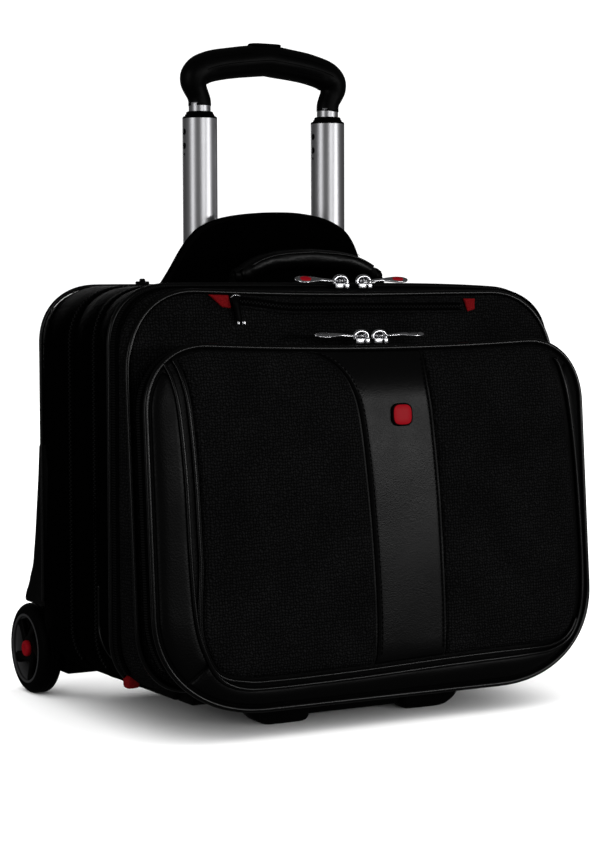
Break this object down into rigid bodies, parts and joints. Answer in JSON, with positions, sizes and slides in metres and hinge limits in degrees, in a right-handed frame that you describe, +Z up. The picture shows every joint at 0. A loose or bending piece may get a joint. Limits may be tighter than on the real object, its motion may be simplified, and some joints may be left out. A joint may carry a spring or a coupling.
{
  "type": "rolling laptop case",
  "caption": "Soft rolling laptop case with a leaning front pocket, zipped lid, corner wheels, front feet and a telescopic trolley handle with a push button.",
  "frame": {"origin": "on the ground under the middle of the whole object's box", "axes": "+Z up, +Y from the front pocket towards the wheels, +X along the case's width"},
  "size_m": [0.432, 0.343, 0.589],
  "materials": {
    "fabric": "ballistic weave",
    "piping": "glossy",
    "zip_tape": "ribbed tape",
    "hide": "fine grain, satin",
    "stripe": "fine grain, matte",
    "red_trim": "gloss",
    "black_plastic": "fine texture",
    "grip": "soft touch",
    "tyre": "matte",
    "brushed_tube": "brushed",
    "steel": "satin",
    "zip_metal": "polished"
  },
  "bodies": {
    "case": {"tub_shell": "fabric", "rim_piping": "piping", "zip_middle": "zip_tape", "zip_rear": "zip_tape", "divider_panel": "fabric", "handle_wall": "black_plastic", "base_plate": "black_plastic", "kick_plate": "black_plastic", "front_feet": "black_plastic", "foot_bar": "black_plastic", "wheel_bracket_left": "black_plastic", "wheel_bracket_right": "black_plastic", "axle_left": "steel", "axle_right": "steel", "handle_sleeves": "brushed_tube", "sleeve_base": "black_plastic", "tube_guides": "black_plastic", "handle_shroud": "fabric", "shroud_binding": "hide", "carry_anchors": "black_plastic"},
    "lid": {"lid_shell": "fabric", "lid_piping": "piping", "lid_zip": "zip_tape", "slit_zip": "piping", "slit_tabs": "red_trim", "pocket_gusset": "fabric"},
    "pocket": {"pocket_shell": "hide", "pocket_piping": "piping", "inner_piping": "piping", "weave_panels": "fabric", "centre_stripe": "stripe", "badge": "red_trim", "pocket_zip": "zip_tape"},
    "stage_1": {"wide_tube_left": "brushed_tube", "wide_tube_right": "brushed_tube", "tube_collars": "black_plastic"},
    "stage_2": {"narrow_tube_left": "brushed_tube", "narrow_tube_right": "brushed_tube", "latch_blocks": "black_plastic", "grip_front": "grip", "grip_back": "grip"},
    "button": {"release_button": "black_plastic", "push_rods": "steel"},
    "wheel_left": {"tyre_left": "tyre", "rim_left": "black_plastic", "hub_cap_left": "red_trim"},
    "wheel_right": {"tyre_right": "tyre", "rim_right": "black_plastic", "hub_cap_right": "red_trim"},
    "carry": {"carry_handle": "hide"},
    "main_slider_left": {"main_slider_left": "zip_metal"},
    "main_slider_right": {"main_slider_right": "zip_metal"},
    "main_puller_left": {"main_puller_left": "zip_metal"},
    "main_puller_right": {"main_puller_right": "zip_metal"},
    "pocket_slider_left": {"pocket_slider_left": "zip_metal"},
    "pocket_slider_right": {"pocket_slider_right": "zip_metal"},
    "pocket_puller_left": {"pocket_puller_left": "zip_metal"},
    "pocket_puller_right": {"pocket_puller_right": "zip_metal"},
    "slit_slider": {"slit_slider": "black_plastic"},
    "rear_slider": {"rear_slider": "black_plastic"}
  },
  "joints": [
    {"name": "lid_hinge", "type": "hinge", "parent": "case", "child": "lid", "pos_m": [0, -0.10746, 0.028], "axis": [1, 0, 0], "range_deg": [0, 18]},
    {"name": "pocket_hinge", "type": "hinge", "parent": "lid", "child": "pocket", "pos_m": [0, -0.14896, 0.0245], "axis": [1, 0, 0], "range_deg": [0, 18]},
    {"name": "handle_stage_1", "type": "slide", "parent": "case", "child": "stage_1", "axis": [0, 0, 1], "range_m": [-0.125, 0.14]},
    {"name": "handle_stage_2", "type": "slide", "parent": "stage_1", "child": "stage_2", "axis": [0, 0, 1], "range_m": [0, 0.27]},
    {"name": "button_press", "type": "slide", "parent": "stage_2", "child": "button", "axis": [0, 0, -1], "range_m": [0, 0.004], "stiffness_N_per_m": 400, "springref_m": -0.012},
    {"name": "wheel_left_spin", "type": "hinge", "parent": "case", "child": "wheel_left", "pos_m": [0, 0.13054, 0.041], "axis": [1, 0, 0], "continuous": true},
    {"name": "wheel_right_spin", "type": "hinge", "parent": "case", "child": "wheel_right", "pos_m": [0, 0.13054, 0.041], "axis": [1, 0, 0], "continuous": true},
    {"name": "carry_swing", "type": "hinge", "parent": "case", "child": "carry", "pos_m": [0, -0.02746, 0.379], "axis": [1, 0, 0], "range_deg": [-40, 40]},
    {"name": "main_left_zip", "type": "slide", "parent": "lid", "child": "main_slider_left", "axis": [1, 0, 0], "range_m": [-0.13, 0]},
    {"name": "main_right_zip", "type": "slide", "parent": "lid", "child": "main_slider_right", "axis": [1, 0, 0], "range_m": [0, 0.13]},
    {"name": "main_left_pull", "type": "hinge", "parent": "main_slider_left", "child": "main_puller_left", "pos_m": [-0.004, -0.09146, 0.3735], "axis": [0, 1, 0], "range_deg": [0, 90]},
    {"name": "main_right_pull", "type": "hinge", "parent": "main_slider_right", "child": "main_puller_right", "pos_m": [0.019, -0.09146, 0.3735], "axis": [0, -1, 0], "range_deg": [0, 90]},
    {"name": "pocket_left_zip", "type": "slide", "parent": "pocket", "child": "pocket_slider_left", "axis": [1, 0, 0], "range_m": [-0.13, 0]},
    {"name": "pocket_right_zip", "type": "slide", "parent": "pocket", "child": "pocket_slider_right", "axis": [1, 0, 0], "range_m": [0, 0.13]},
    {"name": "pocket_left_pull", "type": "hinge", "parent": "pocket_slider_left", "child": "pocket_puller_left", "pos_m": [-0.007, -0.13046, 0.3269], "axis": [0, 1, 0], "range_deg": [0, 90]},
    {"name": "pocket_right_pull", "type": "hinge", "parent": "pocket_slider_right", "child": "pocket_puller_right", "pos_m": [0.011, -0.13046, 0.3269], "axis": [0, -1, 0], "range_deg": [0, 90]},
    {"name": "slit_pocket_zip", "type": "slide", "parent": "lid", "child": "slit_slider", "axis": [1, 0, 0], "range_m": [0, 0.215]},
    {"name": "rear_zip", "type": "slide", "parent": "case", "child": "rear_slider", "axis": [1, 0, 0], "range_m": [-0.015, 0.29]}
  ]
}
